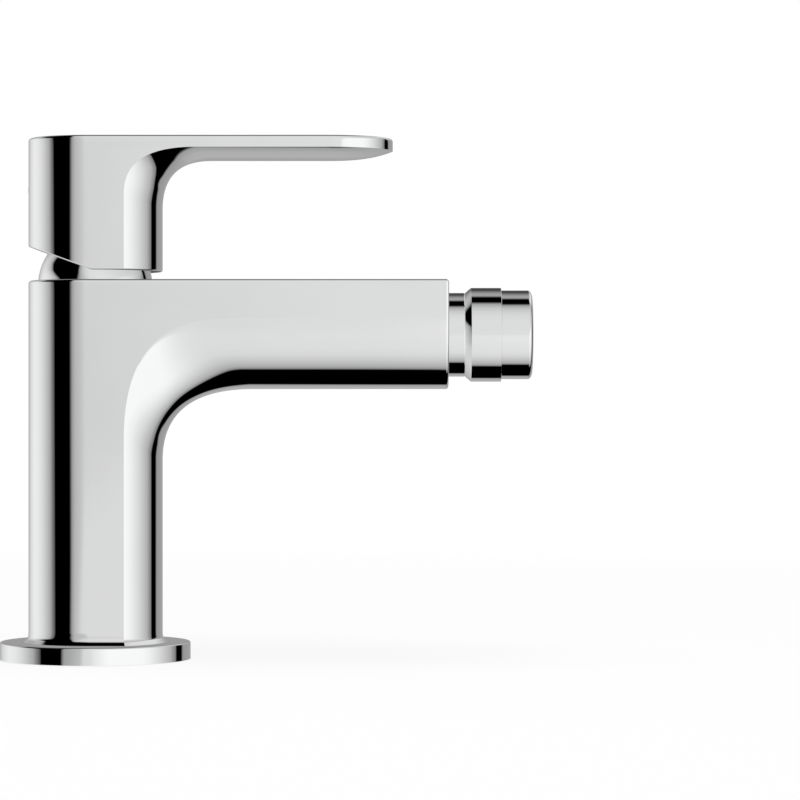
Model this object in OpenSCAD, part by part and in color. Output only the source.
// Single-lever bidet mixer with a swivelling outlet, in millimetres.
// The origin is the centre of the base flange on the deck, +X runs along the spout and +Z is up.

/* [Body] */
// Width of the body across its flat sides
body_w = 34.4; // [33.4:0.1:38]
// Height of the body's top face above the deck
body_h = 104.75; // [100:0.25:120]
// Reach of the column's round back behind the flange axis
back_x = 18.45; // [18.2:0.05:21]
// Reach of the column's bowed front ahead of the flange axis
front_x = 18.65; // [17:0.05:22]
// Place of the edge between flat side and bowed front, ahead of the flange axis
crease_x = 9.3; // [7:0.1:12]
// Wall of the hollow column
body_wall = 3.3; // [2.4:0.1:4.2]
// Height of the hose chamber's ceiling above the deck
chamber_h = 53; // [44:0.5:56]
// Diameter of the base flange
flange_d = 52.8; // [50:0.2:64]
// Thickness of the base flange
flange_t = 4.75; // [4:0.05:8]
// Chamfer round the top of the base flange
flange_edge = 0.5; // [0.2:0.1:1]
// Width of the gasket in the flange's underside
gasket_w = 3.2; // [2:0.1:4]
// Thickness of that gasket
gasket_t = 2; // [1:0.1:2.5]

/* [Spout] */
// Place of the spout's end face, ahead of the flange axis
spout_end = 98; // [85:0.5:130]
// Depth of the spout from its flat top to its lowest line
spout_h = 29.95; // [28:0.05:34]
// Height of the flat part of the spout's sides
spout_flat = 10.05; // [8:0.05:13]
// Roundness exponent of the spout's belly, where 2 is an ellipse
belly_power = 2.1; // [2:0.05:2.6]
// Drop of the blend's lower end below the spout's lowest line, on the centre plane
blend_drop_mid = 19.7; // [12:0.1:24]
// Drop of the blend's lower end below the spout's lowest line, on the flat sides
blend_drop_side = 13.6; // [8:0.1:18]
// Reach of the blend's upper end ahead of the column's front, on the centre plane
blend_reach_mid = 25.3; // [18:0.1:32]
// Reach of the blend's upper end ahead of the column's front, on the flat sides
blend_reach_side = 19.5; // [12:0.1:26]
// Wall of the hollow spout
spout_wall = 3.5; // [2.6:0.1:4]

/* [Lever handle] */
// Reach of the lever's tip ahead of the flange axis
lever_tip = 82.6; // [70:0.2:100]
// Height of the handle from its skirt's lower edge to its flat top
handle_h = 36.7; // [34:0.1:44]
// Thickness of the lever at its rim
lever_rim = 3.3; // [2.4:0.1:5]
// Depth of the lever's crowned underside below its rim
lever_crown = 2.4; // [1.6:0.1:4]
// Gap between the skirt's lower edge and the body's top
skirt_gap = 2.65; // [2.2:0.05:4]
// Place where the skirt's rear bevel begins, ahead of the flange axis
bevel_x = 0.4; // [-1:0.1:3]
// Slope of the rear bevel, which lets the handle tip back
bevel_angle = 20; // [18:0.5:24]
// Drop of the handle's blend below the lever's rim, on the centre plane
handle_drop_mid = 16.1; // [12:0.1:20]
// Drop of the handle's blend below the lever's rim, on the flat sides
handle_drop_side = 12.7; // [9:0.1:16]
// Reach of the handle's blend ahead of the column's front, on the centre plane
handle_reach_mid = 14; // [9:0.1:18]
// Reach of the handle's blend ahead of the column's front, on the flat sides
handle_reach_side = 10; // [6:0.1:15]
// Drop of the set screw's axis below the handle's top
screw_drop = 14.1; // [12:0.1:18]
// Diameter of the set screw
screw_d = 4.9; // [3.9:0.1:5.9]
// Length of the set screw
screw_len = 8; // [5:0.5:9]
// Diameter of the cap over the set screw
cap_d = 5.6; // [5.2:0.1:7]

/* [Dome cover] */
// Radius of the ball-shaped dome under the handle
dome_r = 15.8; // [15.4:0.05:16.2]
// Depth of the dome's centre, which is the lever's pivot, below the body's top
pivot_drop = 1.25; // [0.5:0.05:2]
// Wall of the dome
dome_wall = 1.3; // [1:0.1:1.6]
// Diameter of the dome's top opening
dome_hole_d = 19.6; // [18.8:0.1:21]

/* [Cartridge] */
// Diameter of the cartridge
cartridge_d = 25.2; // [24.6:0.1:25.6]
// Wall of the cartridge housing
housing_wall = 1.2; // [1:0.1:1.6]
// Diameter of the turning carrier
carrier_d = 19; // [18:0.1:19.4]
// Width of the square spindle
spindle_w = 7; // [6:0.1:7.4]
// Height of the spindle above the pivot
spindle_h = 29; // [26:0.5:31]
// Length of the spindle's finger below the pivot
finger_len = 9.2; // [8.5:0.1:9.8]
// Diameter of the finger's ball end
finger_ball_d = 4.4; // [4:0.1:4.8]
// Diameter of the spindle's pivot pin
pin_d = 2.5; // [2:0.1:3]
// Diameter of the sliding ceramic disc and its driver
slider_d = 16; // [15:0.1:16.2]
// Thickness of the driver
driver_t = 4.7; // [4.3:0.1:5.4]
// Thickness of the sliding ceramic disc
upper_disc_t = 3.3; // [2.6:0.1:4]
// Thickness of the fixed ceramic disc
lower_disc_t = 4; // [3:0.1:5]
// Thickness of the cartridge base
base_t = 3.8; // [3.2:0.1:5]
// Distance of each inlet from the centre plane
inlet_y = 6.6; // [6.3:0.1:6.9]
// Distance of the inlets ahead of the axis
inlet_x = 3.4; // [3:0.1:3.8]
// Diameter of the inlet ways
inlet_d = 4.4; // [4:0.1:4.8]
// Distance of the outlet behind the axis
outlet_x = 6.6; // [6:0.1:7]
// Diameter of the outlet way
outlet_d = 5.6; // [5:0.1:5.8]
// Thread diameter of the ring nut
nut_d = 27.7; // [27.2:0.1:28.2]

/* [Swivel outlet] */
// Depth of the outlet's axis below the body's top
outlet_drop = 14.9; // [14:0.1:16]
// Diameter of the fixed neck
neck_d = 23.2; // [22.6:0.1:24]
// Diameter of the swivel collar
collar_d = 26; // [25.4:0.1:27]
// Diameter of the outlet ring
ring_d = 24.6; // [24:0.1:25.6]
// Place of the collar's rear shoulder ahead of the spout's end
shoulder_x = 6.3; // [6:0.1:7.5]
// Place of the step from collar to ring ahead of the spout's end
step_x = 14.6; // [14.2:0.1:15]
// Place of the ring's front ahead of the spout's end
ring_x = 23.25; // [23:0.05:26]
// Place of the swivel's centre ahead of the spout's end
swivel_x = 16.2; // [16:0.05:16.4]
// Diameter of the swivel ball
ball_d = 15.2; // [14.6:0.1:15.6]
// Diameter of the ball's hollow stem
stem_d = 7.9; // [7:0.1:8.2]
// Diameter of the water way through stem and ball
stem_bore_d = 5.2; // [4:0.1:5.6]
// Thickness of the slide ring behind the ball
slide_t = 1.05; // [0.9:0.05:1.15]
// Greatest tilt of the outlet to each side
tilt_angle = 10; // [6:0.5:10]
// Thread diameter of the neck's spigot
spigot_d = 21.2; // [20.6:0.1:22]
// Length of the neck's spigot
spigot_len = 7; // [5:0.5:8]
// Thickness of the flat washers
washer_t = 1.5; // [1:0.1:1.8]
// Diameter of the aerator insert
insert_d = 19.8; // [19:0.1:20.2]

/* [Deck ports] */
// Thread core diameter of the hose ports
port_d = 6.9; // [6.5:0.1:7.4]
// Depth of the hose ports
port_depth = 10; // [8:0.5:12]
// Thread core diameter of the fixing stud's hole
stud_d = 6.8; // [5:0.1:7]
// Depth of that hole
stud_depth = 9; // [7:0.5:10]
// Distance of that hole behind the flange axis
stud_x = 8; // [7:0.1:8.6]

/* [Fits] */
// Clearance between a thread, a sliding piece or a seal and its seat
fit = 0.1; // [0.08:0.01:0.14]
// Clearance of a turning pin or ball on its radius
running = 0.05; // [0.03:0.01:0.08]
// Clearance between shells that pass each other
shell_gap = 0.4; // [0.3:0.05:0.5]

/* [Hidden] */

$fn = 96;
over = 0.5;
side_steps = 40;
blend_steps = 12;
lever_steps = 9;

gasket_margin = 1.6;
gasket_r = flange_d / 2 - gasket_margin;

half_w = body_w / 2;
back_centre = half_w - back_x;
front_centre = (pow(front_x, 2) - pow(crease_x, 2) - pow(half_w, 2)) / (2 * (front_x - crease_x));
front_r = front_x - front_centre;

spout_low = body_h - spout_h;
belly_top = body_h - spout_flat;
belly_h = spout_h - spout_flat;

skirt_z = body_h + skirt_gap;
handle_top = skirt_z + handle_h;
rim_z = handle_top - lever_rim;
tip_centre = lever_tip - half_w;
screw_z = handle_top - screw_drop;
cap_depth = 3;
cap_crown_r = 8;
cap_proud = 0.12;

// Heights of the cartridge's stack, from the pivot down to its seat in the body
pivot_z = body_h - pivot_drop;
carrier_drop = 7.5;
carrier_low = pivot_z - carrier_drop;
driver_gap = 0.35;
driver_top = carrier_low - driver_gap;
driver_low = driver_top - driver_t;
upper_disc_low = driver_low - upper_disc_t;
lower_disc_top = upper_disc_low - running;
lower_disc_low = lower_disc_top - lower_disc_t;
seat_z = lower_disc_low - base_t;
finger_z = pivot_z - finger_len;
shoulder_drop = 6.2;
shoulder_z = pivot_z - shoulder_drop;
lip_rise = 2.2;
lip_z = pivot_z + lip_rise;
lip_t = 0.9;
nut_rise = 2.85;
nut_top = body_h + nut_rise;
nut_relief = 1.8;
nut_slot = [nut_d, 3, 1.6];
dome_ledge = nut_top + shell_gap;
dome_o_ring_z = body_h + 1.3;
groove_z = carrier_low + 2;

cartridge_r = cartridge_d / 2;
housing_in_r = cartridge_r - housing_wall;
carrier_r = carrier_d / 2;
tube_in_r = carrier_r + fit;
tube_wall = 1.3;
tube_r = tube_in_r + tube_wall;
lip_in_r = tube_in_r - lip_t;
nut_r = nut_d / 2;
nut_thread_t = 0.85;
nut_collar_r = nut_r - nut_thread_t;
ball_end_r = finger_ball_d / 2;
finger_undercut = 0.4;
finger_r = ball_end_r - finger_undercut;
slot_w = spindle_w + 2 * fit;
slot_len = 12;
driver_half_w = 6;
lug_t = 1.5;
lug_len = 9;
lug_drop = 3;
pin_len = carrier_d - 4 * fit;
seal_t = 1.2;
seal_wall = 1.3;
key_r = 1.2;
key_len = 1.5;
key_at = [-3, 9.5];
o_ring_r = 0.5;

// Ways for the water inside the body
outlet_way_drop = 7.8;
outlet_way_z = seat_z - outlet_way_drop;
riser_x = 17.5;
channel_x = 16;
channel_r = half_w - spout_wall - 2 * fit;
channel_z = spout_low + spout_wall + channel_r;
mouth_x = spout_end - spigot_len - washer_t;
mouth_wall = 2.5;
spigot_wall = 2.3;
mouth_r = spigot_d / 2 - spigot_wall;

// Swivel outlet: lengths along its axis are measured from the spout's end
outlet_z = body_h - outlet_drop;
collar_r = collar_d / 2;
neck_r = neck_d / 2;
ring_r = ring_d / 2;
ball_r = ball_d / 2;
stem_r = stem_d / 2;
spigot_r = spigot_d / 2;
collar_ball_r = norm([swivel_x - shoulder_x, collar_r]);
neck_ball_r = collar_ball_r + shell_gap / 2;
slide_r = ball_r + running + slide_t;
socket_r = slide_r + running;
lap_len = 2.6;
lap_x = step_x - lap_len;
lap_wall = 2.1;
lap_r = socket_r + lap_wall;
ring_bore_r = socket_r + fit;
seal_ahead = 0.5;
seal_x0 = swivel_x + seal_ahead;
seal_len = 2.5;
seal_x1 = seal_x0 + seal_len;
insert_x = seal_x1 + fit;
aerator_washer_t = 0.8;
insert_r = insert_d / 2;
insert_wall = 1.2;
insert_in_r = insert_r - insert_wall;
insert_recess = 0.35;
insert_front = ring_x - insert_recess;
honeycomb_t = 1.2;
honeycomb_x = insert_front - honeycomb_t - insert_recess;
tilt_both = acos(pow(cos(tilt_angle), 2));
neck_wall_x = -3;
stem_head_w = 1.2;
stem_head_r = stem_r + stem_head_w;
stem_head_t = 1.5;

// Plan of the column: its round back and bowed front at a distance y from the centre plane
function back_at(y) = back_centre - sqrt(max(0, pow(half_w, 2) - pow(y, 2)));
function front_at(y) = front_centre + sqrt(pow(front_r, 2) - pow(y, 2));
function side_y(i) = half_w * sin(-90 + 180 * i / side_steps);
function between(mid, side, y) = mid + (side - mid) * pow(y / half_w, 2);

// Underside of the spout and of the lever
function belly_at(y) =
    belly_top - belly_h * pow(max(0, 1 - pow(abs(y) / half_w, belly_power)), 1 / belly_power);
function tip_at(y) = tip_centre + sqrt(max(0, pow(half_w, 2) - pow(y, 2)));
function rim_share(x, y) = min(1, norm([max(0, x - tip_centre), y]) / half_w);
function crown_at(x, y) = rim_z - lever_crown * pow(1 - pow(rim_share(x, y), 2), 0.75);

// Curve from the upright front at x0 to the underside at z1, tangent to both
function blend(x0, z0, x1, z1, y) = [
    for (i = [0 : blend_steps])
        let (t = 1 - i / blend_steps)
        [x0 + (x1 - x0) * t * t, y, z1 - (z1 - z0) * (1 - t) * (1 - t)]
];

function body_slice(y) = concat(
    [[back_at(y), y, flange_t / 2], [back_at(y), y, body_h], [spout_end, y, body_h],
     [spout_end, y, belly_at(y)]],
    blend(front_at(y), spout_low - between(blend_drop_mid, blend_drop_side, y),
          front_x + between(blend_reach_mid, blend_reach_side, y), belly_at(y), y),
    [[front_at(y), y, flange_t / 2]]
);

function bevel_z(x) = skirt_z + max(0, bevel_x - x) * tan(bevel_angle);
function handle_reach(y) = front_x + between(handle_reach_mid, handle_reach_side, y);
function lever_x(i, y) =
    tip_at(y) + (handle_reach(y) - tip_at(y)) * (1 - cos(90 * i / lever_steps));
function handle_slice(y) = concat(
    [[back_at(y), y, bevel_z(back_at(y))], [back_at(y), y, handle_top],
     [tip_at(y), y, handle_top]],
    [for (i = [0 : lever_steps - 1]) [lever_x(i, y), y, crown_at(lever_x(i, y), y)]],
    blend(front_at(y), rim_z - between(handle_drop_mid, handle_drop_side, y),
          handle_reach(y), crown_at(handle_reach(y), y), y),
    [[front_at(y), y, skirt_z], [bevel_x, y, skirt_z]]
);

// Closed skin over a row of upright slices with the same number of points.
// A slice's second point sees all its other points, so each end is a fan from there.
module skin(slices) {
    rows = len(slices) - 1;
    count = len(slices[0]);
    walls = [
        for (i = [0 : rows - 1], k = [0 : count - 1])
            let (a = i * count + k, b = i * count + (k + 1) % count)
            each [[b, a, a + count], [b + count, b, a + count]]
    ];
    first_end = [for (k = [2 : count - 1]) [1, k, (k + 1) % count]];
    last_end = [for (f = first_end) [f[2], f[1], f[0]] + rows * count * [1, 1, 1]];
    polyhedron(
        points = [for (s = slices) each s],
        faces = concat(walls, first_end, last_end),
        convexity = 6
    );
}

module ring(outer, inner, height) {
    difference() {
        cylinder(r = outer, h = height);
        translate([0, 0, -over]) cylinder(r = inner, h = height + 2 * over);
    }
}

module o_ring(radius, section) {
    rotate_extrude() translate([radius, 0]) circle(r = section, $fn = 32);
}

// Places children along the outlet's axis, with their +Z along +X
module on_outlet(x) {
    translate([spout_end + x, 0, outlet_z]) rotate([0, 90, 0]) children();
}

module at_inlets(z) {
    for (side = [-1, 1]) translate([inlet_x, side * inlet_y, z]) children();
}

module column_plan(inset) {
    intersection() {
        translate([front_centre, 0]) circle(r = front_r - inset);
        union() {
            translate([back_centre, 0]) circle(r = half_w - inset);
            translate([back_centre, inset - half_w]) square([front_x + back_x, body_w - 2 * inset]);
        }
    }
}

module body() {
    color("silver") difference() {
        union() {
            skin([for (i = [0 : side_steps]) body_slice(side_y(i))]);
            rotate_extrude() polygon([
                [0, 0], [flange_d / 2, 0], [flange_d / 2, flange_t - flange_edge],
                [flange_d / 2 - flange_edge, flange_t], [0, flange_t]
            ]);
        }
        translate([0, 0, -over]) linear_extrude(chamber_h + over) column_plan(body_wall);
        gasket_groove();
        deck_ports();
        cartridge_seat();
        water_ways();
    }
}

module gasket_groove() {
    translate([0, 0, -over])
        ring(gasket_r + fit, gasket_r - gasket_w - fit, gasket_t + fit + over);
}

module deck_ports() {
    at_inlets(chamber_h - over) cylinder(d = port_d, h = port_depth + over);
    translate([-stud_x, 0, chamber_h - over]) cylinder(d = stud_d, h = stud_depth + over);
}

module cartridge_seat() {
    translate([0, 0, seat_z]) cylinder(r = cartridge_r + 2 * fit, h = body_h);
    translate([0, 0, shoulder_z - nut_relief]) cylinder(r = nut_r + fit, h = body_h);
    for (side = [-1, 1])
        translate([key_at.x, side * key_at.y, seat_z - key_len - fit])
            cylinder(r = key_r + fit, h = key_len + fit + over);
}

module water_ways() {
    at_inlets(chamber_h) cylinder(d = inlet_d, h = seat_z - chamber_h + over);
    translate([-outlet_x, 0, outlet_way_z - outlet_d / 2])
        cylinder(d = outlet_d, h = seat_z - outlet_way_z + outlet_d / 2 + over);
    translate([-outlet_x, 0, outlet_way_z])
        rotate([0, 90, 0]) cylinder(d = outlet_d, h = outlet_x + riser_x);
    translate([riser_x, 0, outlet_way_z - outlet_d / 2])
        cylinder(d = outlet_d, h = channel_z - outlet_way_z + outlet_d / 2);
    translate([channel_x, 0, channel_z]) rotate([90, 0, 90])
        linear_extrude(mouth_x - mouth_wall - channel_x) channel_section();
    on_outlet(mouth_x - mouth_wall - over - spout_end)
        cylinder(r = mouth_r, h = mouth_wall + 2 * over);
    on_outlet(mouth_x - spout_end) cylinder(r = spigot_r + fit, h = spigot_len + washer_t + over);
}

// Hollow of the spout: a half-round floor under upright sides
module channel_section() {
    upright_h = body_h - spout_wall - channel_z;
    intersection() {
        circle(r = channel_r);
        translate([-channel_r, -channel_r]) square([2 * channel_r, channel_r]);
    }
    translate([-channel_r, -over]) square([2 * channel_r, upright_h + over]);
}

module base_gasket() {
    color("dimgray") ring(gasket_r, gasket_r - gasket_w, gasket_t);
}

module lever_handle() {
    color("silver") difference() {
        skin([for (i = [0 : side_steps]) handle_slice(side_y(i))]);
        translate([0, 0, pivot_z]) sphere(r = dome_r + shell_gap);
        translate([0, 0, pivot_z + spindle_h / 2 + fit])
            cube([spindle_w + fit, spindle_w + fit, spindle_h], center = true);
        translate([0, 0, screw_z]) rotate([0, -90, 0]) cylinder(d = screw_d + fit, h = back_x + over);
        translate([cap_depth - back_x + fit, 0, screw_z])
            rotate([0, -90, 0]) cylinder(d = cap_d + fit, h = cap_depth + fit + over);
    }
}

module handle_set_screw() {
    key_depth = 3;
    color("gray") translate([-spindle_w / 2 - running, 0, screw_z]) rotate([0, -90, 0]) difference() {
        cylinder(d = screw_d, h = screw_len);
        translate([0, 0, screw_len - key_depth])
            cylinder(d = screw_d / 2, h = key_depth + over, $fn = 6);
    }
}

module set_screw_cap() {
    color("silver") intersection() {
        translate([cap_depth - back_x, 0, screw_z])
            rotate([0, -90, 0]) cylinder(d = cap_d, h = cap_depth + over);
        translate([cap_crown_r - back_x - cap_proud, 0, screw_z]) sphere(r = cap_crown_r);
    }
}

module dome_cover() {
    color("silver") difference() {
        intersection() {
            translate([0, 0, pivot_z]) sphere(r = dome_r);
            translate([0, 0, body_h]) cylinder(r = dome_r + over, h = dome_r);
        }
        translate([0, 0, body_h - over])
            cylinder(r = nut_collar_r + fit, h = dome_ledge - body_h + over);
        intersection() {
            translate([0, 0, pivot_z]) sphere(r = dome_r - dome_wall);
            translate([0, 0, dome_ledge]) cylinder(r = dome_r, h = dome_r);
        }
        translate([0, 0, body_h]) cylinder(d = dome_hole_d, h = dome_r + over);
    }
}

module dome_o_ring() {
    color("black") translate([0, 0, dome_o_ring_z]) o_ring(nut_collar_r - o_ring_r, o_ring_r);
}

module cartridge_nut() {
    color("goldenrod") difference() {
        translate([0, 0, shoulder_z]) union() {
            cylinder(r = nut_r, h = body_h - shoulder_z - fit);
            cylinder(r = nut_collar_r, h = nut_top - shoulder_z);
        }
        translate([0, 0, shoulder_z - over]) cylinder(r = tube_r + fit, h = nut_top);
        translate([0, 0, dome_o_ring_z - o_ring_r - fit])
            ring(nut_r, nut_collar_r - 2 * o_ring_r - fit, 2 * (o_ring_r + fit));
        for (i = [0 : 2])
            translate([0, 0, nut_top]) rotate(i * 60) cube(nut_slot, center = true);
    }
}

module cartridge_housing() {
    color("whitesmoke") difference() {
        union() {
            translate([0, 0, lower_disc_low])
                cylinder(r = cartridge_r, h = shoulder_z - lower_disc_low);
            translate([0, 0, lower_disc_low])
                cylinder(r = tube_r, h = lip_z + lip_t - lower_disc_low);
        }
        translate([0, 0, lower_disc_low - over])
            cylinder(r = housing_in_r, h = carrier_low - fit - lower_disc_low + over);
        translate([0, 0, lower_disc_low]) cylinder(r = tube_in_r, h = lip_z - lower_disc_low);
        translate([0, 0, lower_disc_low]) cylinder(r = lip_in_r, h = body_h);
    }
}

module spindle_carrier() {
    color("gainsboro") difference() {
        union() {
            translate([0, 0, carrier_low])
                cylinder(r = carrier_r, h = lip_z - 2 * fit - carrier_low);
            translate([0, 0, carrier_low])
                cylinder(r = lip_in_r - fit, h = lip_z + 2 * lip_t - carrier_low);
            for (side = [-1, 1])
                translate([-lug_len / 2, side * (driver_half_w + fit + lug_t / 2) - lug_t / 2,
                           carrier_low - lug_drop])
                    cube([lug_len, lug_t, lug_drop + over]);
        }
        translate([-slot_len / 2, -slot_w / 2, carrier_low - over])
            cube([slot_len, slot_w, spindle_h]);
        translate([0, 0, pivot_z])
            rotate([90, 0, 0]) cylinder(d = pin_d + fit, h = carrier_d, center = true);
        carrier_groove();
    }
}

module carrier_groove() {
    translate([0, 0, groove_z]) ring(carrier_r + over, carrier_r - 2 * o_ring_r, 2 * o_ring_r + fit);
}

module carrier_o_ring() {
    color("black") translate([0, 0, groove_z + o_ring_r + fit / 2])
        o_ring(carrier_r - o_ring_r + running, o_ring_r);
}

module cartridge_spindle() {
    color("silver") difference() {
        union() {
            translate([-spindle_w / 2, -spindle_w / 2, pivot_z - spindle_w / 2])
                cube([spindle_w, spindle_w, spindle_h + spindle_w / 2]);
            translate([0, 0, finger_z]) cylinder(r = finger_r, h = finger_len);
            translate([0, 0, finger_z]) sphere(r = ball_end_r);
        }
        translate([0, 0, pivot_z]) rotate([90, 0, 0])
            cylinder(d = pin_d + 2 * running, h = spindle_w + over, center = true);
    }
}

module spindle_pivot_pin() {
    color("gray") translate([0, 0, pivot_z]) rotate([90, 0, 0])
        cylinder(d = pin_d, h = pin_len, center = true);
}

module disc_driver() {
    color("gainsboro") difference() {
        translate([0, 0, driver_low]) intersection() {
            cylinder(d = slider_d, h = driver_t);
            translate([-slider_d / 2, -driver_half_w, 0])
                cube([slider_d, 2 * driver_half_w, driver_t]);
        }
        translate([-ball_end_r - 1.5 * fit, -ball_end_r - fit, finger_z - ball_end_r - 2 * fit])
            cube([finger_ball_d + 3 * fit, finger_ball_d + 2 * fit, driver_t]);
    }
}

module upper_ceramic_disc() {
    mix_len = 9;
    mix_w = 10;
    mix_t = 1.5;
    mix_rim = 1.2;
    color("white") translate([0, 0, upper_disc_low]) difference() {
        cylinder(d = slider_d, h = upper_disc_t);
        intersection() {
            translate([-mix_len, -mix_w / 2, -over]) cube([mix_len, mix_w, mix_t + over]);
            translate([0, 0, -over]) cylinder(r = slider_d / 2 - mix_rim, h = mix_t + over);
        }
    }
}

module disc_holes(z, height) {
    at_inlets(z) cylinder(d = inlet_d, h = height);
    translate([-outlet_x, 0, z]) cylinder(d = outlet_d, h = height);
}

module lower_ceramic_disc() {
    color("white") difference() {
        translate([0, 0, lower_disc_low]) cylinder(r = housing_in_r - 2 * fit, h = lower_disc_t);
        disc_holes(lower_disc_low - over, lower_disc_t + 2 * over);
    }
}

// One ring round each inlet and the outlet
module way_seals(z, height, gap) {
    at_inlets(z) ring(inlet_d / 2 + seal_wall + gap, inlet_d / 2 + fit - gap, height);
    translate([-outlet_x, 0, z])
        ring(outlet_d / 2 + seal_wall + gap, outlet_d / 2 + fit - gap, height);
}

module disc_seals() {
    color("black") way_seals(lower_disc_low - seal_t, seal_t, 0);
}

module cartridge_base() {
    color("whitesmoke") difference() {
        union() {
            translate([0, 0, seat_z]) cylinder(r = cartridge_r, h = base_t);
            for (side = [-1, 1])
                translate([key_at.x, side * key_at.y, seat_z - key_len])
                    cylinder(r = key_r, h = key_len + over);
        }
        disc_holes(seat_z - over, base_t + 2 * over);
        way_seals(lower_disc_low - seal_t - fit, seal_t + over, fit);
        way_seals(seat_z - over, seal_t + fit + over, fit);
    }
}

module base_seals() {
    color("black") way_seals(seat_z, seal_t, 0);
}

module swivel_neck() {
    color("silver") on_outlet(0) difference() {
        union() {
            translate([0, 0, -spigot_len]) cylinder(r = spigot_r, h = spigot_len + over);
            cylinder(r = neck_r, h = swivel_x);
        }
        translate([0, 0, swivel_x]) sphere(r = neck_ball_r);
        translate([0, 0, -spigot_len - over])
            cylinder(r = mouth_r, h = spigot_len + neck_wall_x + over);
        translate([0, 0, -spigot_len]) cylinder(r = stem_r + running, h = swivel_x);
    }
}

module neck_washer() {
    color("black") on_outlet(-spigot_len - washer_t) ring(spigot_r - fit, mouth_r, washer_t);
}

module ball_stem() {
    ball_front = 2.4;
    ball_rim = 2;
    color("goldenrod") on_outlet(0) difference() {
        union() {
            translate([0, 0, neck_wall_x - stem_head_t]) cylinder(r = stem_head_r, h = stem_head_t);
            translate([0, 0, neck_wall_x - over]) cylinder(r = stem_r, h = swivel_x - neck_wall_x);
            intersection() {
                translate([0, 0, swivel_x]) sphere(r = ball_r);
                translate([0, 0, swivel_x - ball_d]) cylinder(r = ball_d, h = ball_d + ball_front);
            }
        }
        translate([0, 0, neck_wall_x - stem_head_t - over])
            cylinder(d = stem_bore_d, h = swivel_x + ball_d);
        translate([0, 0, swivel_x])
            cylinder(r1 = stem_bore_d / 2, r2 = ball_r - ball_rim, h = ball_front);
    }
}

module ball_slide_ring() {
    rear_angle = 46;
    front_angle = 82;
    rear = (ball_r + running) * cos(rear_angle);
    front = slide_r * cos(front_angle);
    color("ivory") on_outlet(swivel_x) difference() {
        intersection() {
            sphere(r = slide_r);
            translate([0, 0, -rear]) cylinder(r = slide_r + over, h = rear - front);
        }
        sphere(r = ball_r + running);
    }
}

module swivel_collar() {
    throat = stem_r / cos(tilt_both) + shell_gap;
    color("silver") on_outlet(0) difference() {
        intersection() {
            cylinder(r = collar_r, h = step_x);
            translate([0, 0, swivel_x]) sphere(r = collar_ball_r);
        }
        translate([0, 0, swivel_x]) sphere(r = socket_r);
        cylinder(r1 = throat + swivel_x * tan(tilt_both), r2 = throat, h = swivel_x);
        translate([0, 0, lap_x]) cylinder(r = lap_r + fit, h = step_x);
    }
}

module ball_seal_ring() {
    color("black") on_outlet(0) difference() {
        translate([0, 0, seal_x0]) cylinder(r = socket_r, h = seal_x1 - seal_x0);
        translate([0, 0, swivel_x]) sphere(r = ball_r + running);
    }
}

// Front edge of the outlet ring, rounded over a short length and a wider lip
module outlet_ring() {
    edge_x = 1.2;
    edge_r = ring_r - insert_r - 2 * fit;
    edge_steps = 8;
    color("silver") on_outlet(0) rotate_extrude() polygon(concat(
        [[ring_bore_r, lap_x + fit], [lap_r, lap_x + fit], [lap_r, step_x], [ring_r, step_x]],
        [for (i = [0 : edge_steps]) let (a = 90 * i / edge_steps)
            [ring_r - edge_r * (1 - cos(a)), ring_x - edge_x * (1 - sin(a))]],
        [[insert_r + fit, ring_x], [insert_r + fit, insert_x], [ring_bore_r, insert_x]]
    ));
}

module aerator_washer() {
    color("black") on_outlet(insert_x) ring(insert_r, ball_r - stem_head_w / 2, aerator_washer_t);
}

// Round plate pierced by a triangular pattern of holes with the given sides
module pierced_plate(radius, thickness, hole_d, pitch, sides) {
    rows = ceil(radius / (pitch * sin(60)));
    difference() {
        cylinder(r = radius, h = thickness);
        for (row = [-rows : rows], col = [-rows : rows]) {
            x = (col + row / 2) * pitch;
            y = row * pitch * sin(60);
            if (norm([x, y]) < radius - hole_d)
                translate([x, y, -over]) rotate(30)
                    cylinder(d = hole_d, h = thickness + 2 * over, $fn = sides);
        }
    }
}

module aerator_sieve() {
    sieve_t = 0.6;
    hole_d = 1;
    pitch = 1.6;
    color("lightgray") on_outlet(honeycomb_x - fit - sieve_t)
        pierced_plate(insert_in_r - fit, sieve_t, hole_d, pitch, 24);
}

module aerator_insert() {
    insert_rear = insert_x + aerator_washer_t;
    cell_d = 1.7;
    pitch = 1.95;
    color("gainsboro") on_outlet(0) union() {
        translate([0, 0, insert_rear]) ring(insert_r, insert_in_r, insert_front - insert_rear);
        translate([0, 0, honeycomb_x])
            pierced_plate(insert_in_r + 2 * fit, honeycomb_t, cell_d, pitch, 6);
    }
}

body();
base_gasket();
lever_handle();
handle_set_screw();
set_screw_cap();
dome_cover();
dome_o_ring();
cartridge_nut();
cartridge_housing();
spindle_carrier();
carrier_o_ring();
cartridge_spindle();
spindle_pivot_pin();
disc_driver();
upper_ceramic_disc();
lower_ceramic_disc();
disc_seals();
cartridge_base();
base_seals();
swivel_neck();
neck_washer();
ball_stem();
ball_slide_ring();
swivel_collar();
ball_seal_ring();
outlet_ring();
aerator_washer();
aerator_sieve();
aerator_insert();
